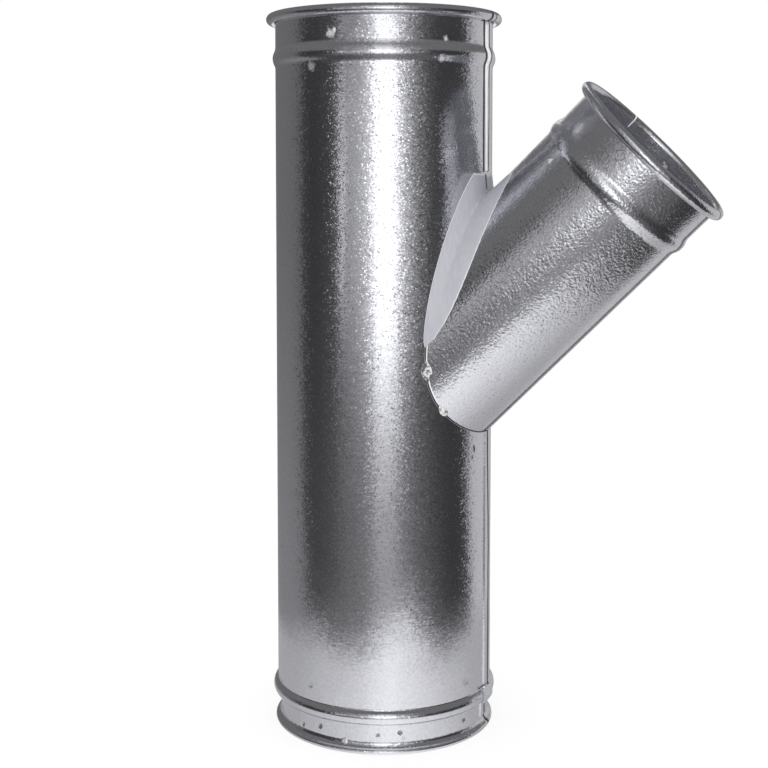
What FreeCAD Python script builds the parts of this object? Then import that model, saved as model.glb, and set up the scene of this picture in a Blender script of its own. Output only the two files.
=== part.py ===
import FreeCAD, Part
import math
import os
import Sketcher

# A 45 degree duct branch of galvanised sheet, in millimetres.
# The main tube stands on the XY plane with its axis on +Z.
# The branch leaves it in the XZ plane, towards +X.

Vector = FreeCAD.Vector

DIMENSIONS = (
    ("main_dia", 160.0, "outside of the main tube"),
    ("main_height", 525.0, "foot to the top of the upper lip"),
    ("gauge", 0.8, "sheet thickness"),
    ("branch_dia", 120.0, "outside of the branch tube"),
    ("branch_angle", 45.0, "between the two axes, degrees"),
    ("branch_rise", 227.0, "foot to the crossing of the axes"),
    ("branch_reach", 284.0, "crossing of the axes to the branch mouth"),
    ("lip_roll", 3.7, "outside radius of the rolled lips"),
    ("lip_wrap_angle", 310.0, "turn of the rolled lips, degrees"),
    ("bead_width", 16.5, "stiffening bead along the axis"),
    ("bead_height", 2.0, "stiffening bead above the tube"),
    ("main_bead_back", 32.1, "top of the upper lip to the bead's middle"),
    ("branch_bead_back", 37.5, "branch mouth to the bead's middle"),
    ("spigot_drop", 2.5, "main tube's outside to the reduced lower end, on each side"),
    ("stop_middle", 26.2, "foot to the middle of the stop bead"),
    ("stop_height", 3.2, "stop bead above the tube"),
    ("stop_round", 5.1, "inside radius of the stop bead's crest"),
    ("stop_shoulder", 1.5, "inside radius at the stop bead's foot"),
    ("stop_blend", 2.5, "inside radius from the stop bead to the tube"),
    ("foot_spread", 4.1, "reduced lower end to the edge of the foot's rolled rim, on each side"),
    ("foot_roll", 1.9, "outside radius of the foot's rolled rim"),
    ("foot_flare", 5.0, "hollow radius from the spigot to the rim"),
    ("foot_wrap_angle", 216.0, "turn of the foot's rolled rim, degrees"),
    ("seam_width", 10.7, "width of the lock seams"),
    ("seam_height", 0.8, "lock seams above the sheet"),
    ("seam_gap", 0.4, "bare sheet between a seam's end and its neighbour"),
    ("weld_size", 16.0, "radius of the upper tack welds' domes"),
    ("weld_proud", 2.6, "upper welds' domes above both tubes"),
    ("weld_angle", 88.0, "upper welds round the branch from its underside, degrees"),
    ("weld_lower_size", 10.0, "radius of the lower tack welds' domes"),
    ("weld_lower_proud", 1.6, "lower welds' domes above both tubes"),
    ("weld_lower_angle", 57.0, "lower welds round the branch from its underside, degrees"),
    ("sealant_angle", 84.0, "sealant round the branch from its top, degrees"),
    ("sealant_top", 18.5, "sealant's top above the crotch's corner"),
    ("sealant_on_main", 22.0, "sealant's edge on the main tube from the branch, in the crotch"),
    ("sealant_main_tail", 3.0, "the same towards the sealant's lower ends"),
    ("sealant_on_branch", 30.0, "sealant's edge on the branch from the main tube, in the crotch"),
    ("sealant_branch_tail", 15.0, "the same towards the sealant's lower ends"),
    ("sealant_film", 0.8, "sealant on both tubes beside the corner"),
    ("sealant_fill_ratio", 0.3, "pull of the sealant's face out of the corner at its ends, as a share"),
    ("dab_width", 14.4, "sealant dab round the stop bead"),
    ("dab_wrap_angle", 100.0, "sealant dab over the stop bead's crest, degrees"),
    ("dab_proud", 0.6, "sealant dab above the seam"),
    ("dab_angle", 3.0, "sealant dab's middle from the seam's middle, degrees"),
)

# How far hidden solids run into each other before they are cut to their seats.
OVERLAP = 0.3
SEALANT_STATIONS = 57
SEALANT_SINK = 0.1

doc = FreeCAD.newDocument("duct_branch")
dims = doc.addObject("Spreadsheet::Sheet", "dims")
for row, (alias, size, note) in enumerate(DIMENSIONS, start=1):
    dims.set(f"A{row}", note)
    dims.set(f"B{row}", str(size))
    dims.setAlias(f"B{row}", alias)
doc.recompute()


def value(formula):
    """The number that a formula of sheet cells stands for now."""
    return float(dims.evalExpression(formula))


MAIN_BORE = "dims.main_dia / 2 - dims.gauge"
BRANCH_BORE = "dims.branch_dia / 2 - dims.gauge"
SPIGOT_BORE = "dims.main_dia / 2 - dims.spigot_drop - dims.gauge"
SEAM_FACE = f"dims.gauge - {OVERLAP}"
BEAD_RADIUS = "((dims.bead_width / 2) ^ 2 + dims.bead_height ^ 2) / (4 * dims.bead_height)"
COT = "1 / tan(dims.branch_angle * 1 deg)"
SIN = "sin(dims.branch_angle * 1 deg)"
COS = "cos(dims.branch_angle * 1 deg)"
BRANCH_LOW = (
    f"dims.branch_rise + (dims.main_dia / 2 - dims.branch_dia / 2 * {COS}) * {COT}"
    f" - dims.branch_dia / 2 * {SIN}"
)
BRANCH_HIGH = (
    f"dims.branch_rise + (dims.main_dia / 2 + dims.branch_dia / 2 * {COS}) * {COT}"
    f" + dims.branch_dia / 2 * {SIN}"
)


class SheetPath:
    """One face of a rolled sheet in half section: tangent lines and arcs, drawn upwards."""

    def __init__(self, name):
        self.sketch = doc.addObject("Sketcher::SketchObject", name)
        self.sketch.Placement = FreeCAD.Placement(Vector(), FreeCAD.Rotation(Vector(1, 0, 0), 90))
        self.end = None
        self.count = 0

    def size(self, formula, *what, angle=False):
        number = value(formula)
        index = self.sketch.addConstraint(
            Sketcher.Constraint(*what, math.radians(number) if angle else number)
        )
        self.count += 1
        name = f"size{self.count}"
        self.sketch.renameConstraint(index, name)
        self.sketch.setExpression(f"Constraints.{name}", f"({formula}) * 1 deg" if angle else formula)

    def join(self, geometry, entry, leave):
        index = self.sketch.addGeometry(geometry)
        if self.end is not None:
            self.sketch.addConstraint(Sketcher.Constraint("Tangent", *self.end, index, entry))
        self.end = (index, leave)
        return index

    def wall(self, radius, low, high):
        """A straight wall; low and high are first guesses that the neighbours settle."""
        x = value(radius)
        index = self.join(Part.LineSegment(Vector(x, low, 0), Vector(x, high, 0)), 1, 2)
        self.sketch.addConstraint(Sketcher.Constraint("Vertical", index))
        self.size(radius, "DistanceX", -1, 1, index, 1)
        return index

    def arc(self, centre, radius, first, last, clockwise):
        """An arc between two angles in degrees; its radius follows the formula."""
        circle = Part.Circle(Vector(*centre, 0), Vector(0, 0, 1), value(radius))
        low, high = sorted((math.radians(first), math.radians(last)))
        index = self.join(
            Part.ArcOfCircle(circle, low, high),
            2 if clockwise else 1,
            1 if clockwise else 2,
        )
        self.size(radius, "Radius", index)
        return index

    def bead(self, bore, lift, middle):
        """Three equal arcs: out of the wall, over the crest and back."""
        half = value("dims.bead_width") / 2
        rise = value("dims.bead_height")
        turn = math.degrees(2 * math.atan(rise / half))
        hollow = f"{BEAD_RADIUS} - ({lift})"
        crest = f"{BEAD_RADIUS} + ({lift})"
        x = value(bore)
        z = value(middle)
        blend = value(BEAD_RADIUS)
        self.arc((x + blend, z - half), hollow, 180, 180 - turn, True)
        top = self.arc((x + rise - blend, z), crest, -turn, turn, False)
        self.size(f"{bore} + dims.bead_height - ({BEAD_RADIUS})", "DistanceX", -1, 1, top, 3)
        self.size(middle, "DistanceY", -1, 1, top, 3)
        self.arc((x + blend, z + half), hollow, 180 + turn, 180, True)

    def stop_bead(self, lift):
        """The tall bead between the reduced spigot and the tube."""
        crest_x = f"{MAIN_BORE} + dims.stop_height - dims.stop_round"
        low_x = value(f"{SPIGOT_BORE} + dims.stop_shoulder")
        high_x = value(f"{MAIN_BORE} + dims.stop_blend")
        x = value(crest_x)
        z = value("dims.stop_middle")
        low_span = value("dims.stop_round + dims.stop_shoulder")
        high_span = value("dims.stop_round + dims.stop_blend")
        low_z = z - math.sqrt(low_span ** 2 - (x - low_x) ** 2)
        high_z = z + math.sqrt(high_span ** 2 - (high_x - x) ** 2)
        low_turn = math.degrees(math.atan2(z - low_z, x - low_x))
        high_turn = math.degrees(math.atan2(high_z - z, high_x - x))
        self.arc((low_x, low_z), f"dims.stop_shoulder - ({lift})", 180, low_turn, True)
        top = self.arc((x, z), f"dims.stop_round + ({lift})", low_turn - 180, high_turn, False)
        self.size(crest_x, "DistanceX", -1, 1, top, 3)
        self.size("dims.stop_middle", "DistanceY", -1, 1, top, 3)
        self.arc((high_x, high_z), f"dims.stop_blend - ({lift})", 180 + high_turn, 180, True)
        return low_z, high_z

    def over_stop_bead(self, lift):
        """An arc that lies on the stop bead's crest."""
        half = value("dims.dab_wrap_angle") / 2
        crest_x = f"{MAIN_BORE} + dims.stop_height - dims.stop_round"
        centre = (value(crest_x), value("dims.stop_middle"))
        crest = self.arc(centre, f"dims.stop_round + ({lift})", -half, half, False)
        self.size(crest_x, "DistanceX", -1, 1, crest, 3)
        self.size("dims.stop_middle", "DistanceY", -1, 1, crest, 3)
        self.size("dims.dab_wrap_angle", "Angle", crest, angle=True)
        self.sketch.addConstraint(Sketcher.Constraint("Vertical", crest, 1, crest, 2))

    def rolled_lip(self, bore, top):
        """The rim curled outwards and down until it nearly meets the wall."""
        wrap = value("dims.lip_wrap_angle")
        centre = (value(f"{bore} + dims.lip_roll"), value(f"{top} - dims.lip_roll"))
        roll = self.arc(centre, "dims.lip_roll", 180, 180 - wrap, True)
        self.size(f"{top} - dims.lip_roll", "DistanceY", -1, 1, roll, 3)
        self.size("dims.lip_wrap_angle", "Angle", roll, angle=True)

    def foot(self):
        """The small rim that is rolled under, and the hollow flare above it."""
        roll_x = f"{SPIGOT_BORE} + dims.gauge + dims.foot_spread - dims.foot_roll"
        flare_x = f"{SPIGOT_BORE} + dims.gauge + dims.foot_flare"
        span = value("dims.foot_flare + dims.foot_roll")
        across = value(flare_x) - value(roll_x)
        flare_z = value("dims.foot_roll") + math.sqrt(span ** 2 - across ** 2)
        turn = math.degrees(math.acos(across / span))
        wrap = value("dims.foot_wrap_angle")
        centre = (value(roll_x), value("dims.foot_roll"))
        roll = self.arc(centre, "dims.foot_roll - dims.gauge", turn - wrap, turn, False)
        self.size(roll_x, "DistanceX", -1, 1, roll, 3)
        self.size("dims.foot_roll", "DistanceY", -1, 1, roll, 3)
        self.size("dims.foot_wrap_angle", "Angle", roll, angle=True)
        self.arc((value(flare_x), flare_z), "dims.foot_flare + dims.gauge", 180 + turn, 180, True)
        return flare_z

    def start_at(self, wall, height):
        self.size(height, "DistanceY", -1, 1, wall, 1)

    def stop_at(self, wall, height):
        self.size(height, "DistanceY", -1, 1, wall, 2)


def revolved_sheet(name, path, thickness, angle="360"):
    """The sheet of a path: thickened away from the axis and turned about it."""
    skin = doc.addObject("Part::Offset2D", f"{name}_skin")
    skin.Source = path.sketch
    skin.Mode = "Skin"
    skin.Fill = True
    skin.setExpression("Value", f"-({thickness})")
    turned = doc.addObject("Part::Revolution", name)
    turned.Source = skin
    turned.Axis = Vector(0, 0, 1)
    turned.Solid = True
    turned.Symmetric = True
    turned.setExpression("Angle", angle)
    return turned


def on_branch_axis(item):
    """Stands an item that was drawn about +Z on the branch's axis."""
    item.Placement = FreeCAD.Placement(Vector(), FreeCAD.Rotation(Vector(0, 1, 0), 1))
    item.setExpression("Placement.Base.z", "dims.branch_rise")
    item.setExpression("Placement.Rotation.Angle", "dims.branch_angle * 1 deg")


def cylinder(name, radius, height, branch=False):
    item = doc.addObject("Part::Cylinder", name)
    item.setExpression("Radius", radius)
    item.setExpression("Height", height)
    if branch:
        on_branch_axis(item)
    return item


def fuse(name, *items):
    joined = doc.addObject("Part::MultiFuse", name)
    joined.Shapes = list(items)
    return joined


def cut(name, base, tool):
    result = doc.addObject("Part::Cut", name)
    result.Base = base
    result.Tool = tool
    return result


# Cylinders that the pieces seat on and are opened by.
main_outside = cylinder("main_outside", "dims.main_dia / 2", "dims.main_height")
branch_outside = cylinder("branch_outside", "dims.branch_dia / 2", "dims.branch_reach", branch=True)
branch_bore = cylinder("branch_bore", BRANCH_BORE, "dims.branch_reach", branch=True)
both_outsides = fuse("both_outsides", main_outside, branch_outside)


# Main tube: rolled foot, reduced spigot, stop bead, wall, bead and rolled lip.
TOP = "dims.main_height"
TOP_BEAD = "dims.main_height - dims.main_bead_back"
MAIN_SEAM_TURN = "dims.seam_width / dims.main_dia * 360 / pi"

main_path = SheetPath("main_path")
flare_end = main_path.foot()
stop_low = value("dims.stop_middle - dims.stop_round")
main_path.wall(SPIGOT_BORE, flare_end, stop_low)
main_path.stop_bead("0")
main_path.wall(MAIN_BORE, value("dims.stop_middle + dims.stop_round"), value(TOP_BEAD))
main_path.bead(MAIN_BORE, "0", TOP_BEAD)
main_path.wall(MAIN_BORE, value(TOP_BEAD), value(f"{TOP} - dims.lip_roll"))
main_path.rolled_lip(MAIN_BORE, TOP)
main_wall = revolved_sheet("main_wall", main_path, "dims.gauge")

FLARE_TOP = (
    "dims.foot_roll + sqrt((dims.foot_flare + dims.foot_roll) ^ 2"
    " - (dims.foot_flare + dims.foot_roll - dims.foot_spread) ^ 2)"
)
low_seam_path = SheetPath("low_seam_path")
spigot_side = low_seam_path.wall(f"{SPIGOT_BORE} + {SEAM_FACE}", flare_end, stop_low)
low_seam_path.start_at(spigot_side, f"{FLARE_TOP} + dims.seam_gap")
low_seam_path.stop_bead(SEAM_FACE)
tube_side = low_seam_path.wall(f"{MAIN_BORE} + {SEAM_FACE}", stop_low, value(BRANCH_LOW))
low_seam_path.stop_at(tube_side, f"{BRANCH_LOW} - dims.seam_gap")
low_seam = revolved_sheet("low_seam", low_seam_path, f"dims.seam_height + {OVERLAP}", MAIN_SEAM_TURN)

high_seam_path = SheetPath("high_seam_path")
crotch_side = high_seam_path.wall(f"{MAIN_BORE} + {SEAM_FACE}", value(BRANCH_HIGH), value(TOP_BEAD))
high_seam_path.start_at(crotch_side, f"{BRANCH_HIGH} + dims.sealant_top + dims.seam_gap")
high_seam_path.bead(MAIN_BORE, SEAM_FACE, TOP_BEAD)
lip_side = high_seam_path.wall(f"{MAIN_BORE} + {SEAM_FACE}", value(TOP_BEAD), value(TOP))
high_seam_path.stop_at(lip_side, f"{TOP} - 2 * dims.lip_roll - dims.seam_gap")
high_seam = revolved_sheet("high_seam", high_seam_path, f"dims.seam_height + {OVERLAP}", MAIN_SEAM_TURN)

main_closed = fuse("main_closed", main_wall, low_seam, high_seam)
main_tube = cut("main_tube", main_closed, branch_bore)


# Branch tube: wall coped to the main tube, bead and rolled lip, seam on its underside.
BRANCH_BEAD = "dims.branch_reach - dims.branch_bead_back"
BRANCH_SEAM_TURN = "dims.seam_width / dims.branch_dia * 360 / pi"
COPE_START = f"dims.branch_dia / 2 * {COS}"
COPE_LOW = f"(dims.main_dia / 2 - dims.branch_dia / 2 * {COS}) / {SIN}"

branch_path = SheetPath("branch_path")
hidden_end = branch_path.wall(BRANCH_BORE, 0, value(BRANCH_BEAD))
branch_path.start_at(hidden_end, f"{COPE_START} / 2")
branch_path.bead(BRANCH_BORE, "0", BRANCH_BEAD)
branch_path.wall(BRANCH_BORE, value(BRANCH_BEAD), value("dims.branch_reach - dims.lip_roll"))
branch_path.rolled_lip(BRANCH_BORE, "dims.branch_reach")
branch_wall = revolved_sheet("branch_wall", branch_path, "dims.gauge")

branch_seam_path = SheetPath("branch_seam_path")
saddle_side = branch_seam_path.wall(f"{BRANCH_BORE} + {SEAM_FACE}", 0, value(BRANCH_BEAD))
branch_seam_path.start_at(saddle_side, f"{COPE_LOW} + dims.seam_height + dims.seam_gap")
branch_seam_path.bead(BRANCH_BORE, SEAM_FACE, BRANCH_BEAD)
mouth_side = branch_seam_path.wall(
    f"{BRANCH_BORE} + {SEAM_FACE}", value(BRANCH_BEAD), value("dims.branch_reach")
)
branch_seam_path.stop_at(mouth_side, "dims.branch_reach - 2 * dims.lip_roll - dims.seam_gap")
branch_seam = revolved_sheet(
    "branch_seam", branch_seam_path, f"dims.seam_height + {OVERLAP}", BRANCH_SEAM_TURN
)

branch_whole = fuse("branch_whole", branch_wall, branch_seam)
on_branch_axis(branch_wall)
on_branch_axis(branch_seam)
branch_tube = cut("branch_tube", branch_whole, main_outside)


# Tack welds on the edge of the saddle, two on each side.
def tack_weld(name, size, proud, turn):
    """A ball sunk under the saddle's edge, so that a low dome stands out of the corner."""
    ball = doc.addObject("Part::Sphere", name)
    ball.setExpression("Radius", size)
    sink = f"({size} - {proud})"
    inward = f"(dims.branch_dia / 2 - {sink}) * cos({turn} * 1 deg)"
    sideways = f"(dims.branch_dia / 2 - {sink}) * sin({turn} * 1 deg)"
    across = f"sqrt((dims.main_dia / 2 - {sink}) ^ 2 - ({sideways}) ^ 2)"
    along = f"({across} - {inward} * {COS}) / {SIN}"
    ball.setExpression("Placement.Base.x", across)
    ball.setExpression("Placement.Base.y", sideways)
    ball.setExpression("Placement.Base.z", f"dims.branch_rise + {along} * {COS} - {inward} * {SIN}")
    return ball


weld_balls = fuse(
    "weld_balls",
    tack_weld("near_weld", "dims.weld_size", "dims.weld_proud", "-dims.weld_angle"),
    tack_weld("near_low_weld", "dims.weld_lower_size", "dims.weld_lower_proud", "-dims.weld_lower_angle"),
    tack_weld("far_weld", "dims.weld_size", "dims.weld_proud", "dims.weld_angle"),
    tack_weld("far_low_weld", "dims.weld_lower_size", "dims.weld_lower_proud", "dims.weld_lower_angle"),
)
tack_welds = cut("tack_welds", weld_balls, both_outsides)


# Sealant brushed into the crotch, thinning out down both sides of the saddle.
def saddle_point(turn, off_main, off_branch):
    """Where cylinders that far outside both tubes meet, turned in degrees from the branch's top."""
    lean = math.radians(value("dims.branch_angle"))
    radius = value("dims.branch_dia / 2") + off_branch
    outward = radius * math.cos(math.radians(turn))
    sideways = radius * math.sin(math.radians(turn))
    across = math.sqrt((value("dims.main_dia / 2") + off_main) ** 2 - sideways ** 2)
    along = (across + outward * math.cos(lean)) / math.sin(lean)
    rise = value("dims.branch_rise") + along * math.cos(lean) + outward * math.sin(lean)
    return Vector(across, sideways, rise)


def sealant_section(turn):
    """A hollow face over the corner, with its edges just under both tubes' faces."""
    share = abs(turn) / value("dims.sealant_angle")
    ease = (1 + math.cos(math.pi * share)) / 2
    on_main = value("dims.sealant_main_tail")
    on_main += ease * value("dims.sealant_on_main - dims.sealant_main_tail")
    on_branch = value("dims.sealant_on_branch")
    on_branch += share ** 2 * value("dims.sealant_branch_tail - dims.sealant_on_branch")
    tongue = math.sqrt(1 - 0.9 * share ** 12)
    top = value(f"{BRANCH_HIGH} + dims.sealant_top")
    main_edge = saddle_point(turn, -SEALANT_SINK, on_main * tongue)
    main_edge.z = min(main_edge.z, top)
    branch_edge = saddle_point(turn, on_branch * tongue, -SEALANT_SINK)
    spare = max(branch_edge.z - top, 0)
    branch_edge -= Vector(spare / value(COT), 0, spare)
    root = saddle_point(turn, -10 * SEALANT_SINK, -10 * SEALANT_SINK)
    film = value("dims.sealant_film") * tongue
    corner = saddle_point(turn, film, film)
    fill = value("dims.sealant_fill_ratio") * share
    pull = corner + (main_edge + branch_edge - corner * 2) * fill
    face = Part.BezierCurve()
    face.setPoles([main_edge, pull, pull, pull, pull, branch_edge])
    back = Part.makePolygon([branch_edge, root, main_edge])
    return Part.Wire([face.toShape()] + back.Edges)


sealant_block = doc.addObject("Part::Feature", "sealant_block")
last_turn = value("dims.sealant_angle")
turns = [last_turn * (2 * step / (SEALANT_STATIONS - 1) - 1) for step in range(SEALANT_STATIONS)]
sealant_block.Shape = Part.makeLoft([sealant_section(turn) for turn in turns], True, True)
crotch_sealant = cut("crotch_sealant", sealant_block, both_outsides)


# Sealant dab that closes the seam where it climbs over the stop bead.
dab_path = SheetPath("dab_path")
dab_path.over_stop_bead("dims.gauge")
dab_block = revolved_sheet(
    "dab_block",
    dab_path,
    "dims.seam_height + dims.dab_proud",
    "dims.dab_width / dims.main_dia * 360 / pi",
)
dab_block.Placement = FreeCAD.Placement(Vector(), FreeCAD.Rotation(Vector(0, 0, -1), 1))
dab_block.setExpression("Placement.Rotation.Angle", "dims.dab_angle * 1 deg")
bead_sealant = cut("bead_sealant", dab_block, low_seam)


PIECES = (main_tube, branch_tube, tack_welds, crotch_sealant, bead_sealant)

doc.recompute()
for item in doc.Objects:
    if "Invalid" in item.State or "Error" in item.State:
        raise RuntimeError(f"{item.Label} did not build: {item.State}")
os.makedirs("parts", exist_ok=True)
for piece in PIECES:
    piece.Label = piece.Name
    shape = piece.Shape
    if shape.isNull() or not shape.isValid():
        raise RuntimeError(f"{piece.Label} has no valid shape")
    box = shape.BoundBox
    print(piece.Label, len(shape.Solids), "solids", round(shape.Volume, 1), "mm3",
          [round(v, 2) for v in (box.XMin, box.YMin, box.ZMin, box.XMax, box.YMax, box.ZMax)])
    shape.exportStep(f"parts/{piece.Label}.step")
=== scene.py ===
import math

import bmesh
import bpy
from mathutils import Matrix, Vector

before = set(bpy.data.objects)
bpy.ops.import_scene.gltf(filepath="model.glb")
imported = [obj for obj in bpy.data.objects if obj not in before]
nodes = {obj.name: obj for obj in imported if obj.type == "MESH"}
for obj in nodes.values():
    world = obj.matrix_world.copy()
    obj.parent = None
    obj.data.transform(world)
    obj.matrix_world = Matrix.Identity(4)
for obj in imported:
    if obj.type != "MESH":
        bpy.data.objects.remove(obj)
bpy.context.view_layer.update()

# The camera looks slightly down, from 20 degrees round towards the branch's side.
CAMERA_TURN = math.radians(20)
TOWARDS = Vector((math.sin(CAMERA_TURN), -math.cos(CAMERA_TURN), 0))
RIGHT = Vector((math.cos(CAMERA_TURN), math.sin(CAMERA_TURN), 0))
CAMERA_DISTANCE = 1.0493
CAMERA_HEIGHT = 0.4098
CAMERA_PITCH = math.radians(3.907)
FOCAL_MM = 66.134
LENS_SHIFT = -0.15
SENSOR_MM = 36

# The tubes, in metres.
MAIN_RADIUS = 0.08
SPIGOT_RADIUS = 0.0775
BRANCH_RADIUS = 0.06
SHEET_THICKNESS = 0.0008
BRANCH_START = Vector((0, 0, 0.227))
BRANCH_AXIS = Vector((1, 0, 1)).normalized()
BRANCH_UNDER = Vector((1, 0, -1)).normalized()

# Lines along the main seam, in degrees from the branch's side, and their ends in metres: painted shade in its
# cracks, and a painted highlight on its fold.
SEAM_LEFT_CRACK = (-8.0, -5.6)
SEAM_FOLD_HIGHLIGHT = (-5.2, -2.0)
SEAM_RIGHT_CRACK = (-1.7, -0.2)
SEAM_SOFT = 0.2
SEAM_WANDER = 1.2
SEAM_END_FADE = 0.001
SEAM_FOLD_TOP = 0.5165
LOW_CRACK = (0.8, 3.2)
LOW_CRACK_LEAN = 2.6
LOW_CRACK_BEND = 0.13
LOW_SEAM_TOP = 0.222
HIGH_SEAM_FOOT = 0.4105

# Painted shade along the line where the branch meets the main tube below the sealant: metres off the branch,
# along it, and up.
CONTACT_SHADE = (0.0009, 0.0004)
CONTACT_START = (0.0, 0.01)
CONTACT_TOP = (0.296, 0.286)

# Painted shade in the seam's crack in the sealant, in degrees and metres, and a painted highlight on the
# sealant's raised edge in metres off the tubes.
SEALANT_CRACK = (-4.8, -3.0)
SEALANT_CRACK_SOFT = 0.3
SEALANT_CRACK_FOOT = (0.397, 0.399)
SEALANT_CRACK_REACH = (0.006, 0.004)
SEALANT_EDGE = (0.00016, 0.00004)

# Painted shade in the crack of the branch's seam, in degrees from its underside, and its bare edge, painted
# pale as its highlight, in metres off the main tube.
BRANCH_CRACK = (-8.1, -5.3)
BRANCH_CRACK_SOFT = 0.5
BRANCH_CRACK_SHADE = 0.8
RAW_EDGE = (0.0007, 0.0004)
RAW_EDGE_TURN = (66, 104)
RAW_EDGE_SOFT = 6

# Walls of the room: degrees from the camera's direction, and brightness. Their edges lean lower down.
ROOM_RADIUS = 4.0
ROOM_SEGMENTS = 48
ROOM_RINGS = 24
ROOM = (
    (-180, 0.20), (-150, 0.16), (-128, 0.165), (-108, 0.155), (-100, 0.14), (-92, 0.055), (-86, 0.042),
    (-75, 0.042), (-60, 0.058), (-40, 0.085), (0, 0.09), (25, 0.085), (45, 0.062), (58, 0.05), (72, 0.045),
    (93, 0.05), (99, 0.30), (105, 0.54), (125, 0.58), (150, 0.55), (180, 0.20),
)
ROOM_LEAN = (
    (-1.0, 20), (-0.42, 20), (-0.33, 14), (-0.29, 8), (-0.24, 4), (-0.18, 0), (1.0, 0),
)
ROOM_GAIN = 0.55
ROOM_GAIN_RISE = (0.1, -0.33)
ROOM_GAIN_TURN = (75, 50)
ROOM_OPENING = (173, 178)
CEILING = 0.17
CEILING_RISE = (0.25, 0.42)
PLAIN_LIGHT = 0.88

# Tall front light behind the camera: metres to the right and up, and brightness.
PANEL_DISTANCE = 1.35
PANEL_LOW = -0.9
PANEL_HIGH = 2.2
PANEL_HALF = 1.9
PANEL_ACROSS = (
    (-1.9, 0.0), (-1.62, 0.06), (-1.3, 0.16), (-1.1, 0.22), (-0.95, 0.27), (-0.7, 0.35), (-0.5, 0.46),
    (-0.36, 0.66), (-0.25, 1.05), (-0.16, 1.8), (0.19, 1.8), (0.28, 1.3), (0.42, 0.68), (0.57, 0.44),
    (0.75, 0.26), (0.98, 0.12), (1.3, 0.04), (1.9, 0.0),
)
PANEL_RISE = (
    (-0.9, 0.07), (-0.4, 0.09), (-0.2, 0.12), (-0.1, 0.2), (0.0, 0.34), (0.08, 0.58), (0.16, 0.85),
    (0.24, 1.0), (0.55, 1.0), (0.68, 0.62), (0.9, 0.5), (1.5, 0.3), (2.2, 0.1),
)
STRIP_MIDDLE = -1.26
STRIP_HALF = 0.11
STRIP_GAIN = 1.4
STRIP_RISE = (
    (-0.9, 0.0), (0.05, 0.0), (0.16, 0.35), (0.3, 1.0), (0.45, 0.9), (0.6, 0.45), (0.72, 0.0), (2.2, 0.0),
)

# The floor, just under the foot.
FLOOR_RADIUS = 0.72
FLOOR_DROP = 0.0004
FLOOR_GREY = (0.8, 0.8, 0.8, 1)
FLOOR_SHADE = (0.26, 0.26, 0.26, 1)
FLOOR_GLOW = 0.8
DISC_SIDES = 96

# Glowing sheet below the floor, for reflections alone, standing in for the lit floor with the object's shadow
# painted into its glow: its reach and its brightness by direction.
SHEET_DEPTH = 0.05
SHEET_REACH = (
    (-180, 0.42), (-112, 0.42), (-97, 0.44), (-82, 0.465), (-67, 0.48), (-52, 0.45), (-37, 0.435),
    (-22, 0.44), (-7, 0.465), (7, 0.515), (22, 0.555), (37, 0.48), (52, 0.43), (67, 0.432), (82, 0.45),
    (97, 0.48), (112, 0.50), (130, 0.49), (180, 0.42),
)
SHEET_EDGE = ((0.0, 1.0), (0.9, 1.0), (0.96, 0.82), (1.0, 0.5), (1.05, 0.15), (1.1, 0.0), (2.0, 0.0))
SHEET_GLOW_AND_SHADOW = (
    (-180, 0.42), (-140, 0.44), (-97, 0.47), (-82, 0.52), (-67, 0.58), (-52, 0.65), (-37, 0.74),
    (-22, 0.85), (-7, 1.03), (7, 1.10), (22, 0.96), (37, 0.86), (52, 0.75), (67, 0.65), (82, 0.57),
    (97, 0.48), (130, 0.45), (180, 0.42),
)

# Marks in the zinc: degrees and place, radius, dent in metres, and tone from dark to pale, which paints the
# dents' shade and glints.
COLLAR_MARKS = (
    (-96.7, 0.5053, 0.0034, 0.0005, 0.5),
    (-95.0, 0.5080, 0.0016, 0.0003, 0.7),
    (-37.6, 0.5022, 0.0020, 0.0003, 0.6),
    (-40.3, 0.4885, 0.0030, 0.0003, 0.45),
    (-109.1, 0.4835, 0.0034, 0.0003, 0.25),
    (-17.1, 0.2114, 0.0028, 0.0005, -0.3),
    (-18.4, 0.2060, 0.0016, 0.0004, -0.3),
    (-22.3, 0.0437, 0.0036, 0.0002, -0.1),
    (-111.2, 0.0432, 0.0030, 0.0002, -0.1),
)
SPIGOT_MARKS = (
    (-118.7, 0.0112, 0.0017, 0.0004, -0.6),
    (-105.9, 0.0144, 0.0021, 0.0005, -0.7),
    (-73.2, 0.0126, 0.0019, 0.0005, -0.6),
    (-61.3, 0.0151, 0.0019, 0.0005, -0.7),
    (-60.2, 0.0101, 0.0013, -0.0003, 0.5),
    (-91.3, 0.0070, 0.0022, -0.0003, 0.4),
    (-21.7, 0.0142, 0.0017, 0.0004, -0.6),
)
BRANCH_MARKS = (
    (-132.1, 0.2609, 0.0050, -0.0004, 0.3),
    (-129.7, 0.2309, 0.0026, -0.0006, 0.6),
    (-128.9, 0.2330, 0.0018, -0.0004, 0.5),
)
INNER_MARKS = (
    (82.7, 0.2724, 0.0030, 0.0006, 0.5),
)
MARK_RAGGED = (0.004, 0.004, 0.004)
MARK_OUTER = 1.25
MARK_INNER = 0.3

# A pressed ring and a scratch near the branch's mouth: degrees, place, and size or end.
RING_MARK = (-94.3, 0.2691, 0.0036)
RING_INNER = 0.0006
RING_OUTER = 0.0002
RING_SOFT = 0.0005
RING_RISE = 0.0004
INNER_SCAR = (122.0, 0.275, 0.2845)
SCAR_HALF = 0.4
SCAR_SOFT = 0.3
SCAR_END_SOFT = 0.001

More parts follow.
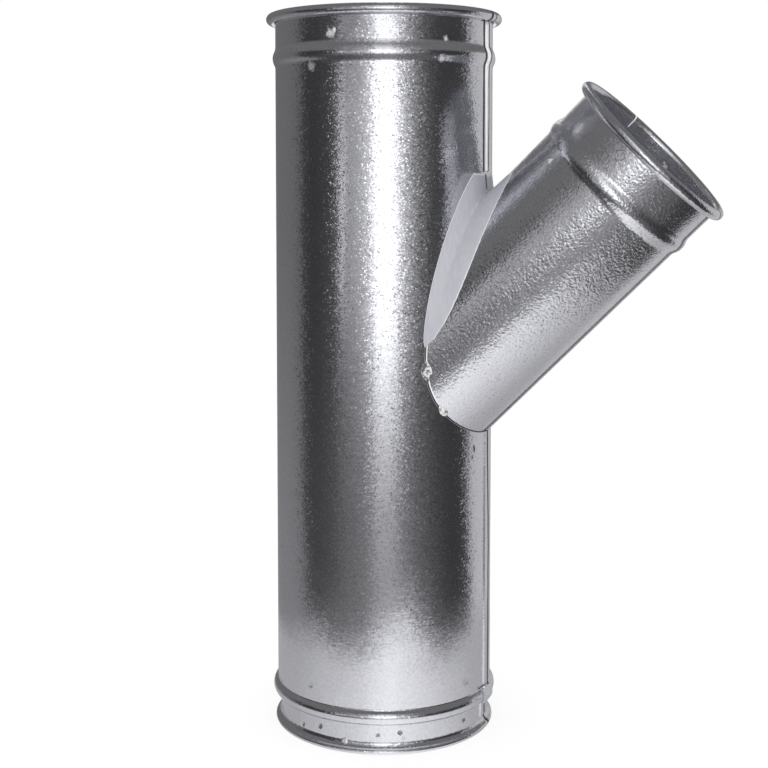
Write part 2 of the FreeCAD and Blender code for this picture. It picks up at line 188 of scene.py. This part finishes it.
# Facets of the zinc: cells per metre, their turn along X, Y and Z, and their stretch. Heights are in metres.
MAIN_GRAINS = (
    (1300, (0.05, 0.05, 0.01), (1, 1, 1)),
    (650, (0.025, 0.025, 0.006), (1, 1, 1)),
    (1700, (0.0, 0.0, 0.02), (0.15, 0.15, 1)),
)
BRANCH_GRAINS = (
    (1100, (0.05, 0.05, 0.05), (1, 1, 1)),
)
MAIN_SPARKS = (4.8, 4.8, 0.5)
BRANCH_SPARKS = (2.4, 2.4, 2.4)
MAIN_WAVES = 0.0002
BRANCH_WAVES = 0.0005
BRANCH_PEEL = 0.00026
INNER_DULL = 0.08
MAIN_INSIDE = (0.0002, 0.0006)
BRANCH_INSIDE = (0.0002, 0.0005)

# Sizes of the textures, in features per metre.
RAGGED_SCALE = 300
SPARK_SCALE = 1150
SPECK_SCALE = 500
CLOUD_SCALE = 40
WANDER_SCALE = 60
BREAK_SCALE = 70
WAVE_SCALE = 24
DOT_SCALE = 210
PEEL_SCALE = 560
LUMP_SCALE = 330
STREAK_SCALE = 420
STREAK_STRETCH = (1, 1, 0.1)

# Levels at which a texture starts and is full.
BREAK_LEVELS = (0.36, 0.44)
DOT_LEVELS = (0.15, 0.08)
HOLLOW_LEVELS = (0.40, 0.58)

# Colours and gloss.
ZINC_DULL = (0.62, 0.622, 0.665, 1)
ZINC_BRIGHT = (0.88, 0.883, 0.94, 1)
# Pale for painted highlights and glints, and for bare metal.
ZINC_BARE_AND_HIGHLIGHT = (0.95, 0.95, 0.96, 1)
# Dark for painted shade, and for dark dots.
ZINC_SHADE_AND_DOTS = (0.03, 0.03, 0.035, 1)
ZINC_ROUGHNESS = 0.12
CLOUD_ROUGHNESS = 0.09
LINE_ROUGHNESS = 0.3
DOT_TONE = -0.4
# Weld colours: darker in the hollows, and white as a painted highlight on the lumps.
WELD_HOLLOW_DARK = (0.14, 0.14, 0.15, 1)
WELD_HIGHLIGHT = (1.0, 1.0, 0.99, 1)
WELD_METALLIC = 0.4
WELD_ROUGHNESS = 0.3
WELD_LUMPS = 0.0016
SEALANT_DARK = (0.42, 0.42, 0.465, 1)
SEALANT_PALE = (0.56, 0.56, 0.61, 1)
# Pale for the painted highlight on the sealant's raised edge; the gap colour is painted shade in its crack.
SEALANT_RIDGE_HIGHLIGHT = (0.78, 0.78, 0.82, 1)
SEALANT_CRACK_SHADE = (0.06, 0.06, 0.06, 1)
SEALANT_ROUGHNESS = 0.6
SEALANT_STREAKS = 0.0003


class Tree:
    """A node tree with short ways to add and join nodes."""

    def __init__(self, tree):
        self.tree = tree
        self.tree.nodes.clear()

    def node(self, kind, **settings):
        made = self.tree.nodes.new(kind)
        for name, setting in settings.items():
            setattr(made, name, setting)
        return made

    def feed(self, socket, source):
        if isinstance(source, bpy.types.NodeSocket):
            self.tree.links.new(source, socket)
        else:
            socket.default_value = source

    def math(self, operation, *sources, clamp=False):
        made = self.node("ShaderNodeMath", operation=operation, use_clamp=clamp)
        for socket, source in zip(made.inputs, sources):
            self.feed(socket, source)
        return made.outputs[0]

    def times(self, *sources):
        total = sources[0]
        for source in sources[1:]:
            total = self.math("MULTIPLY", total, source)
        return total

    def plus(self, *sources):
        total = sources[0]
        for source in sources[1:]:
            total = self.math("ADD", total, source)
        return total

    def vector(self, operation, *sources, result=0):
        made = self.node("ShaderNodeVectorMath", operation=operation)
        for socket, source in zip(made.inputs, sources):
            self.feed(socket, source)
        return made.outputs[result]

    def fade(self, source, none, full):
        """0 at one value and 1 at the other, with a soft rise between."""
        made = self.node("ShaderNodeMapRange", interpolation_type="SMOOTHSTEP")
        self.feed(made.inputs["Value"], source)
        self.feed(made.inputs["From Min"], none)
        self.feed(made.inputs["From Max"], full)
        return made.outputs[0]

    def band(self, source, low, high, soft):
        """1 between two values, fading over a soft edge outside each."""
        return self.times(self.fade(source, low - soft, low), self.fade(source, high + soft, high))

    def ramp(self, source, stops, low, high):
        """A smooth curve through (position, value) stops between two limits."""
        span = high - low
        share = self.math("DIVIDE", self.math("SUBTRACT", source, low), span)
        made = self.node("ShaderNodeValToRGB")
        made.color_ramp.interpolation = "EASE"
        elements = made.color_ramp.elements
        while len(elements) > 1:
            elements.remove(elements[-1])
        peak = max(level for _, level in stops)
        for index, (position, level) in enumerate(stops):
            place = (position - low) / span
            element = elements[0] if index == 0 else elements.new(place)
            element.position = place
            element.color = (level / peak, level / peak, level / peak, 1)
        self.feed(made.inputs[0], share)
        return self.math("MULTIPLY", made.outputs[0], peak)

    def mix_colour(self, share, first, second):
        made = self.node("ShaderNodeMix", data_type="RGBA")
        self.feed(made.inputs[0], share)
        self.feed(made.inputs[6], first)
        self.feed(made.inputs[7], second)
        return made.outputs[2]

    def mix_value(self, share, first, second):
        made = self.node("ShaderNodeMix", data_type="FLOAT")
        self.feed(made.inputs[0], share)
        self.feed(made.inputs[2], first)
        self.feed(made.inputs[3], second)
        return made.outputs[0]

    def mix_shader(self, share, first, second):
        made = self.node("ShaderNodeMixShader")
        self.feed(made.inputs[0], share)
        self.feed(made.inputs[1], first)
        self.feed(made.inputs[2], second)
        return made.outputs[0]

    def noise(self, where, scale, detail=2.0, roughness=0.5):
        made = self.node("ShaderNodeTexNoise")
        self.feed(made.inputs["Vector"], where)
        self.feed(made.inputs["Scale"], scale)
        self.feed(made.inputs["Detail"], detail)
        self.feed(made.inputs["Roughness"], roughness)
        return made

    def cells(self, where, scale):
        made = self.node("ShaderNodeTexVoronoi")
        self.feed(made.inputs["Vector"], where)
        self.feed(made.inputs["Scale"], scale)
        return made

    def bump(self, height):
        """The normal of a surface raised by a height in metres."""
        made = self.node("ShaderNodeBump")
        self.feed(made.inputs["Distance"], 1.0)
        self.feed(made.inputs["Height"], height)
        return made.outputs[0]

    def spread(self, made):
        """A texture's random colour, moved to lie evenly round zero."""
        return self.vector("SUBTRACT", made.outputs["Color"], (0.5, 0.5, 0.5))

    def facets(self, normal, where, scale, tilt, stretch):
        """The normal turned a little in each small cell of the zinc."""
        spread = self.spread(self.cells(self.vector("MULTIPLY", where, stretch), scale))
        turned = self.vector("ADD", normal, self.vector("MULTIPLY", spread, tilt))
        return self.vector("NORMALIZE", turned)

    def sparks(self, normal, where, scale, tilt):
        """The normal turned far in a few small cells."""
        spread = self.spread(self.cells(where, scale))
        squared = self.vector("MULTIPLY", spread, spread)
        rare = self.vector("MULTIPLY", spread, self.vector("MULTIPLY", squared, squared))
        turned = self.vector("ADD", normal, self.vector("MULTIPLY", rare, tilt))
        return self.vector("NORMALIZE", turned)

    def place(self):
        return self.node("ShaderNodeTexCoord").outputs["Object"]

    def parts(self, where):
        split = self.node("ShaderNodeSeparateXYZ")
        self.feed(split.inputs[0], where)
        return split.outputs

    def surface(self, shader):
        output = self.node("ShaderNodeOutputMaterial")
        self.feed(output.inputs["Surface"], shader)


def material(name):
    made = bpy.data.materials.new(name)
    made.use_nodes = True
    return made, Tree(made.node_tree)


def studio_turn(tree, way):
    """Degrees from the camera's direction, to the right, of a direction or a place."""
    sideways = tree.vector("DOT_PRODUCT", way, RIGHT, result=1)
    forwards = tree.vector("DOT_PRODUCT", way, TOWARDS, result=1)
    return tree.math("DEGREES", tree.math("ARCTAN2", sideways, forwards))


def set_world():
    """A white background, and plain even light for matt surfaces."""
    world = bpy.data.worlds.new("studio")
    bpy.context.scene.world = world
    world.use_nodes = True
    tree = Tree(world.node_tree)
    path = tree.node("ShaderNodeLightPath").outputs
    shown = tree.math("MAXIMUM", path["Is Camera Ray"], path["Is Glossy Ray"])
    shown = tree.math("MAXIMUM", shown, path["Is Transmission Ray"])
    background = tree.node("ShaderNodeBackground")
    tree.feed(background.inputs["Color"], (1, 1, 1, 1))
    tree.feed(background.inputs["Strength"], tree.mix_value(shown, PLAIN_LIGHT, 1.0))
    output = tree.node("ShaderNodeOutputWorld")
    tree.feed(output.inputs["Surface"], background.outputs[0])


def stage_piece(name, mesh, look):
    piece = bpy.data.objects.new(name, mesh)
    bpy.context.scene.collection.objects.link(piece)
    mesh.materials.append(look)
    return piece


def disc(name, radius):
    mesh = bpy.data.meshes.new(name)
    turns = [2 * math.pi * step / DISC_SIDES for step in range(DISC_SIDES)]
    ring = [(radius * math.cos(turn), radius * math.sin(turn), 0) for turn in turns]
    mesh.from_pydata(ring, [], [tuple(range(DISC_SIDES))])
    return mesh


def add_room():
    """Dim walls all round, open to the white background straight behind the object."""
    look, tree = material("walls")
    where = tree.place()
    turn = studio_turn(tree, where)
    upwards = tree.math("DIVIDE", tree.parts(where)["Z"], ROOM_RADIUS)
    leaning = tree.math("SUBTRACT", turn, tree.ramp(upwards, ROOM_LEAN, -1, 1))
    lower_gain = tree.times(tree.fade(upwards, *ROOM_GAIN_RISE), tree.fade(turn, *ROOM_GAIN_TURN), ROOM_GAIN)
    walls = tree.times(tree.ramp(leaning, ROOM, -180, 180), tree.plus(lower_gain, 1.0))
    lit = tree.node("ShaderNodeEmission")
    tree.feed(lit.inputs["Strength"], tree.mix_value(tree.fade(upwards, *CEILING_RISE), walls, CEILING))
    opening = tree.fade(tree.math("ABSOLUTE", turn), *ROOM_OPENING)
    through = tree.node("ShaderNodeBsdfTransparent")
    tree.surface(tree.mix_shader(opening, lit.outputs[0], through.outputs[0]))
    mesh = bpy.data.meshes.new("room")
    shell = bmesh.new()
    bmesh.ops.create_uvsphere(shell, u_segments=ROOM_SEGMENTS, v_segments=ROOM_RINGS, radius=ROOM_RADIUS)
    shell.to_mesh(mesh)
    shell.free()
    room = stage_piece("room", mesh, look)
    room.visible_camera = False
    room.visible_diffuse = False
    room.visible_shadow = False


def add_front_light():
    """A tall soft panel behind the camera, brightest in the middle, with a thin strip at its left."""
    look, tree = material("front_glow")
    place = tree.parts(tree.place())
    across = tree.ramp(place["X"], PANEL_ACROSS, -PANEL_HALF, PANEL_HALF)
    rise = tree.ramp(place["Z"], PANEL_RISE, PANEL_LOW, PANEL_HIGH)
    aside = tree.math("ABSOLUTE", tree.math("SUBTRACT", place["X"], STRIP_MIDDLE))
    strip = tree.times(tree.fade(aside, STRIP_HALF, 0.0), STRIP_GAIN)
    strip = tree.times(strip, tree.ramp(place["Z"], STRIP_RISE, PANEL_LOW, PANEL_HIGH))
    lit = tree.node("ShaderNodeEmission")
    tree.feed(lit.inputs["Strength"], tree.math("MULTIPLY_ADD", across, rise, strip))
    through = tree.node("ShaderNodeBsdfTransparent")
    both = tree.node("ShaderNodeAddShader")
    tree.feed(both.inputs[0], lit.outputs[0])
    tree.feed(both.inputs[1], through.outputs[0])
    tree.surface(both.outputs[0])
    mesh = bpy.data.meshes.new("front_light")
    corners = [(-PANEL_HALF, 0, PANEL_LOW), (PANEL_HALF, 0, PANEL_LOW),
               (PANEL_HALF, 0, PANEL_HIGH), (-PANEL_HALF, 0, PANEL_HIGH)]
    mesh.from_pydata(corners, [], [(0, 1, 2, 3)])
    panel = stage_piece("front_light", mesh, look)
    panel.location = TOWARDS * PANEL_DISTANCE
    panel.rotation_euler.z = CAMERA_TURN
    panel.visible_camera = False
    panel.visible_shadow = False


def add_sheet():
    """A glowing sheet below the floor, which the metal shows; its glow paints the lit floor, darker at the
    sides and back as a painted shadow of the object.
    """
    look, tree = material("sheet")
    where = tree.place()
    turn = studio_turn(tree, where)
    reach = tree.ramp(turn, SHEET_REACH, -180, 180)
    share = tree.math("DIVIDE", tree.vector("LENGTH", where, result=1), reach)
    edge = tree.ramp(share, SHEET_EDGE, 0, 2)
    lit = tree.node("ShaderNodeEmission")
    # The glow by direction paints the lit floor and the object's shadow on it.
    tree.feed(lit.inputs["Strength"], tree.ramp(turn, SHEET_GLOW_AND_SHADOW, -180, 180))
    through = tree.node("ShaderNodeBsdfTransparent")
    tree.surface(tree.mix_shader(edge, through.outputs[0], lit.outputs[0]))
    sheet = stage_piece("sheet", disc("sheet", FLOOR_RADIUS), look)
    sheet.location.z = -SHEET_DEPTH
    sheet.visible_camera = False
    sheet.visible_diffuse = False
    sheet.visible_shadow = False


def add_floor():
    """A plain pale floor that keeps the object's shadow."""
    look, tree = material("paper")
    plain = tree.node("ShaderNodeBsdfDiffuse")
    tree.feed(plain.inputs["Color"], FLOOR_GREY)
    diffuse = tree.node("ShaderNodeBsdfDiffuse")
    tree.feed(diffuse.inputs["Color"], FLOOR_SHADE)
    pale = tree.node("ShaderNodeEmission")
    tree.feed(pale.inputs["Strength"], FLOOR_GLOW)
    both = tree.node("ShaderNodeAddShader")
    tree.feed(both.inputs[0], diffuse.outputs[0])
    tree.feed(both.inputs[1], pale.outputs[0])
    seen = tree.node("ShaderNodeLightPath").outputs["Is Camera Ray"]
    tree.surface(tree.mix_shader(seen, plain.outputs[0], both.outputs[0]))
    floor = stage_piece("floor", disc("floor", FLOOR_RADIUS), look)
    floor.location.z = -FLOOR_DROP
    floor.visible_glossy = False


def on_main(turn, height, radius=MAIN_RADIUS):
    turn = math.radians(turn)
    return Vector((radius * math.cos(turn), radius * math.sin(turn), height))


def on_branch(turn, along, radius=BRANCH_RADIUS):
    turn = math.radians(turn)
    out = BRANCH_UNDER * math.cos(turn) + Vector((0, 1, 0)) * math.sin(turn)
    return BRANCH_START + BRANCH_AXIS * along + out * radius


def main_frame(tree, place):
    """Distance from the main tube's axis, and degrees from the branch's side."""
    across = tree.plus(tree.times(place["X"], place["X"]), tree.times(place["Y"], place["Y"]))
    turn = tree.math("DEGREES", tree.math("ARCTAN2", place["Y"], place["X"]))
    return tree.math("SQRT", across), turn


def branch_frame(tree, where):
    """Length along the branch's axis, distance from it, and degrees from its underside."""
    local = tree.vector("SUBTRACT", where, BRANCH_START)
    along = tree.vector("DOT_PRODUCT", local, BRANCH_AXIS, result=1)
    under = tree.vector("DOT_PRODUCT", local, BRANCH_UNDER, result=1)
    side = tree.parts(where)["Y"]
    away = tree.math("SQRT", tree.plus(tree.times(under, under), tree.times(side, side)))
    turn = tree.math("DEGREES", tree.math("ARCTAN2", side, under))
    return along, away, turn


def add_marks(tree, where, marks):
    """Height and tone of small dents and runs with ragged outlines; the tone paints the dents' shade and
    glints.
    """
    ragged = tree.spread(tree.noise(where, RAGGED_SCALE, 2))
    warped = tree.vector("ADD", where, tree.vector("MULTIPLY", ragged, MARK_RAGGED))
    height = 0.0
    tone = 0.0
    for centre, radius, dent, shade in marks:
        away = tree.vector("DISTANCE", warped, centre, result=1)
        mask = tree.fade(away, radius * MARK_OUTER, radius * MARK_INNER)
        height = tree.math("MULTIPLY_ADD", mask, -dent, height)
        # The tone paints each dent's shade and glint.
        tone = tree.math("MULTIPLY_ADD", mask, shade, tone)
    return height, tone


def zinc(tree, where, height, tone, grains, sparks, paint, inside):
    """Zinc-coated sheet; paint is its dark lines of painted shade and its pale lines of painted highlight and
    bare metal, and the inside is duller.
    """
    dark, pale = paint
    normal = tree.bump(height)
    for scale, tilt, stretch in grains:
        normal = tree.facets(normal, where, scale, tilt, stretch)
    normal = tree.sparks(normal, where, SPARK_SCALE, sparks)
    speck = tree.noise(where, SPECK_SCALE, 4, 0.7).outputs["Fac"]
    colour = tree.mix_colour(speck, ZINC_DULL, ZINC_BRIGHT)
    # Pale: painted highlights and glints, and bare metal. Dark: painted shade, and dark dots.
    paler = tree.math("MAXIMUM", tone, pale)
    darker = tree.math("MAXIMUM", tree.math("MULTIPLY", tone, -1.0), dark)
    colour = tree.mix_colour(tree.math("MULTIPLY", paler, 1.0, clamp=True), colour, ZINC_BARE_AND_HIGHLIGHT)
    colour = tree.mix_colour(tree.math("MULTIPLY", darker, 1.0, clamp=True), colour, ZINC_SHADE_AND_DOTS)
    clouds = tree.noise(where, CLOUD_SCALE, 3).outputs["Fac"]
    lines = tree.math("MAXIMUM", dark, paler, clamp=True)
    shader = tree.node("ShaderNodeBsdfPrincipled")
    tree.feed(shader.inputs["Base Color"], colour)
    dull = tree.math("MAXIMUM", lines, tree.times(inside, INNER_DULL))
    tree.feed(shader.inputs["Metallic"], tree.math("SUBTRACT", 1.0, dull))
    rougher = tree.plus(tree.times(clouds, CLOUD_ROUGHNESS), tree.times(lines, LINE_ROUGHNESS))
    tree.feed(shader.inputs["Roughness"], tree.plus(rougher, ZINC_ROUGHNESS))
    tree.feed(shader.inputs["Normal"], normal)
    tree.surface(shader.outputs[0])


def main_look():
    """Zinc with painted shade in the seam's cracks, a painted highlight on its fold, painted shade along the
    line where the branch meets it, and marks.
    """
    made, tree = material("galvanised_main")
    where = tree.place()
    place = tree.parts(where)
    rise = place["Z"]
    out, turn = main_frame(tree, place)
    along, away, _ = branch_frame(tree, where)
    wander = tree.math("SUBTRACT", tree.noise(where, WANDER_SCALE, 2).outputs["Fac"], 0.5)
    turn = tree.math("MULTIPLY_ADD", wander, SEAM_WANDER, turn)
    breaks = tree.fade(tree.noise(where, BREAK_SCALE, 3).outputs["Fac"], *BREAK_LEVELS)
    upper = tree.fade(rise, HIGH_SEAM_FOOT - SEAM_END_FADE, HIGH_SEAM_FOOT)
    lower = tree.fade(rise, LOW_SEAM_TOP + SEAM_END_FADE, LOW_SEAM_TOP)
    # Painted shade in the seam's cracks, and a painted highlight on the fold between them.
    left_crack = tree.times(tree.band(turn, *SEAM_LEFT_CRACK, SEAM_SOFT), breaks)
    right_crack = tree.band(turn, *SEAM_RIGHT_CRACK, SEAM_SOFT)
    upper_crack = tree.times(tree.math("MAXIMUM", left_crack, right_crack), upper)
    below_lip = tree.fade(rise, SEAM_FOLD_TOP, SEAM_FOLD_TOP - SEAM_END_FADE)
    fold = tree.times(tree.band(turn, *SEAM_FOLD_HIGHLIGHT, SEAM_SOFT), upper, below_lip)
    lean = tree.times(tree.fade(rise, LOW_CRACK_BEND, LOW_SEAM_TOP), LOW_CRACK_LEAN)
    lower_crack = tree.times(tree.band(tree.plus(turn, lean), *LOW_CRACK, SEAM_SOFT), lower)
    # Painted shade along the line where the branch meets the main tube.
    contact = tree.fade(away, BRANCH_RADIUS + CONTACT_SHADE[0], BRANCH_RADIUS + CONTACT_SHADE[1])
    contact = tree.times(contact, tree.fade(along, *CONTACT_START), tree.fade(rise, *CONTACT_TOP))
    # All these dark lines are painted shade.
    dark = tree.math("MAXIMUM", tree.math("MAXIMUM", upper_crack, lower_crack), contact)
    marks = [(on_main(*mark[:2]), *mark[2:]) for mark in COLLAR_MARKS]
    marks += [(on_main(*mark[:2], SPIGOT_RADIUS), *mark[2:]) for mark in SPIGOT_MARKS]
    height, tone = add_marks(tree, where, marks)
    inside = tree.fade(out, SPIGOT_RADIUS - MAIN_INSIDE[0], SPIGOT_RADIUS - MAIN_INSIDE[1])
    waves = tree.noise(where, WAVE_SCALE, 2).outputs["Fac"]
    height = tree.math("MULTIPLY_ADD", waves, MAIN_WAVES, height)
    zinc(tree, where, height, tone, MAIN_GRAINS, MAIN_SPARKS, (dark, fold), inside)
    return made


def branch_look():
    """Zinc with an orange-peel surface, painted shade in the seam's crack, a bare saddle edge painted pale as
    its highlight, and marks.
    """
    made, tree = material("galvanised_branch")
    where = tree.place()
    place = tree.parts(where)
    along, away, turn = branch_frame(tree, where)
    out, _ = main_frame(tree, place)
    # The bare saddle edge, painted pale as its highlight.
    edge_highlight = tree.fade(out, MAIN_RADIUS + RAW_EDGE[0], MAIN_RADIUS + RAW_EDGE[1])
    edge_highlight = tree.times(edge_highlight, tree.band(tree.math("ABSOLUTE", turn), *RAW_EDGE_TURN, RAW_EDGE_SOFT))
    scar_turn, scar_start, scar_end = INNER_SCAR
    scar = tree.times(tree.band(turn, scar_turn - SCAR_HALF, scar_turn + SCAR_HALF, SCAR_SOFT),
                      tree.band(along, scar_start, scar_end, SCAR_END_SOFT))
    pale = tree.math("MAXIMUM", edge_highlight, scar)
    dots = tree.fade(tree.cells(where, DOT_SCALE).outputs["Distance"], *DOT_LEVELS)
    # Painted shade in the crack of the branch's seam.
    crack = tree.times(tree.band(turn, *BRANCH_CRACK, BRANCH_CRACK_SOFT), BRANCH_CRACK_SHADE)
    marks = [(on_branch(*mark[:2]), *mark[2:]) for mark in BRANCH_MARKS]
    marks += [(on_branch(*mark[:2], BRANCH_RADIUS - SHEET_THICKNESS), *mark[2:]) for mark in INNER_MARKS]
    height, tone = add_marks(tree, where, marks)
    ring_turn, ring_along, ring_radius = RING_MARK
    spread = tree.vector("DISTANCE", where, on_branch(ring_turn, ring_along), result=1)
    ring = tree.band(spread, ring_radius - RING_INNER, ring_radius + RING_OUTER, RING_SOFT)
    height = tree.math("MULTIPLY_ADD", ring, RING_RISE, height)
    tone = tree.math("MULTIPLY_ADD", dots, DOT_TONE, tone)
    waves = tree.noise(where, WAVE_SCALE, 2).outputs["Fac"]
    inside = tree.fade(away, BRANCH_RADIUS - BRANCH_INSIDE[0], BRANCH_RADIUS - BRANCH_INSIDE[1])
    peel = tree.times(tree.noise(where, PEEL_SCALE, 2).outputs["Fac"], tree.math("SUBTRACT", 1.0, inside))
    height = tree.plus(height, tree.times(waves, BRANCH_WAVES), tree.times(peel, BRANCH_PEEL))
    zinc(tree, where, height, tone, BRANCH_GRAINS, BRANCH_SPARKS, (crack, pale), inside)
    return made


def weld_look():
    """Lumpy metal, darker in its hollows, with a painted white highlight on its lumps."""
    made, tree = material("weld")
    where = tree.place()
    lumps = tree.noise(where, LUMP_SCALE, 3, 0.6).outputs["Fac"]
    # Painted highlight on the lumps; the hollows are darker.
    highlighted = tree.fade(lumps, *HOLLOW_LEVELS)
    shader = tree.node("ShaderNodeBsdfPrincipled")
    tree.feed(shader.inputs["Metallic"], WELD_METALLIC)
    tree.feed(shader.inputs["Base Color"], tree.mix_colour(highlighted, WELD_HOLLOW_DARK, WELD_HIGHLIGHT))
    tree.feed(shader.inputs["Roughness"], WELD_ROUGHNESS)
    tree.feed(shader.inputs["Normal"], tree.bump(tree.times(lumps, WELD_LUMPS)))
    tree.surface(shader.outputs[0])
    return made


def sealant_look():
    """Matt grey paste with brush streaks along the joint, a painted highlight on the ridge at its edges, and
    painted shade in the seam's crack.
    """
    made, tree = material("brushed_sealant")
    where = tree.place()
    place = tree.parts(where)
    _, away, _ = branch_frame(tree, where)
    out, turn = main_frame(tree, place)
    over_branch = tree.math("SUBTRACT", away, BRANCH_RADIUS)
    over_main = tree.math("SUBTRACT", out, MAIN_RADIUS)
    # Painted highlight on the sealant's raised edge, and painted shade in the seam's crack.
    ridge = tree.fade(tree.math("MINIMUM", over_branch, over_main), *SEALANT_EDGE)
    crack = tree.band(turn, *SEALANT_CRACK, SEALANT_CRACK_SOFT)
    crack = tree.times(crack, tree.fade(place["Z"], *SEALANT_CRACK_FOOT))
    crack = tree.times(crack, tree.fade(over_main, *SEALANT_CRACK_REACH))
    stretched = tree.vector("MULTIPLY", where, STREAK_STRETCH)
    streaks = tree.noise(stretched, STREAK_SCALE, 3, 0.6).outputs["Fac"]
    colour = tree.mix_colour(streaks, SEALANT_DARK, SEALANT_PALE)
    colour = tree.mix_colour(ridge, colour, SEALANT_RIDGE_HIGHLIGHT)
    colour = tree.mix_colour(crack, colour, SEALANT_CRACK_SHADE)
    shader = tree.node("ShaderNodeBsdfPrincipled")
    tree.feed(shader.inputs["Base Color"], colour)
    tree.feed(shader.inputs["Roughness"], SEALANT_ROUGHNESS)
    tree.feed(shader.inputs["Normal"], tree.bump(tree.times(streaks, SEALANT_STREAKS)))
    tree.surface(shader.outputs[0])
    return made


def dress(names, look):
    for name in names:
        slots = nodes[name].data.materials
        slots.clear()
        slots.append(look)


def add_camera():
    data = bpy.data.cameras.new("camera")
    data.lens = FOCAL_MM
    data.sensor_width = SENSOR_MM
    data.shift_y = LENS_SHIFT
    camera = bpy.data.objects.new("camera", data)
    camera.location = TOWARDS * CAMERA_DISTANCE + Vector((0, 0, CAMERA_HEIGHT))
    camera.rotation_euler = (math.pi / 2 - CAMERA_PITCH, 0, CAMERA_TURN)
    bpy.context.scene.collection.objects.link(camera)
    bpy.context.scene.camera = camera


dress(("main_tube",), main_look())
dress(("branch_tube",), branch_look())
dress(("tack_welds",), weld_look())
dress(("crotch_sealant", "bead_sealant"), sealant_look())
set_world()
add_room()
add_front_light()
add_sheet()
add_floor()
add_camera()
bpy.context.scene.view_settings.view_transform = "Standard"
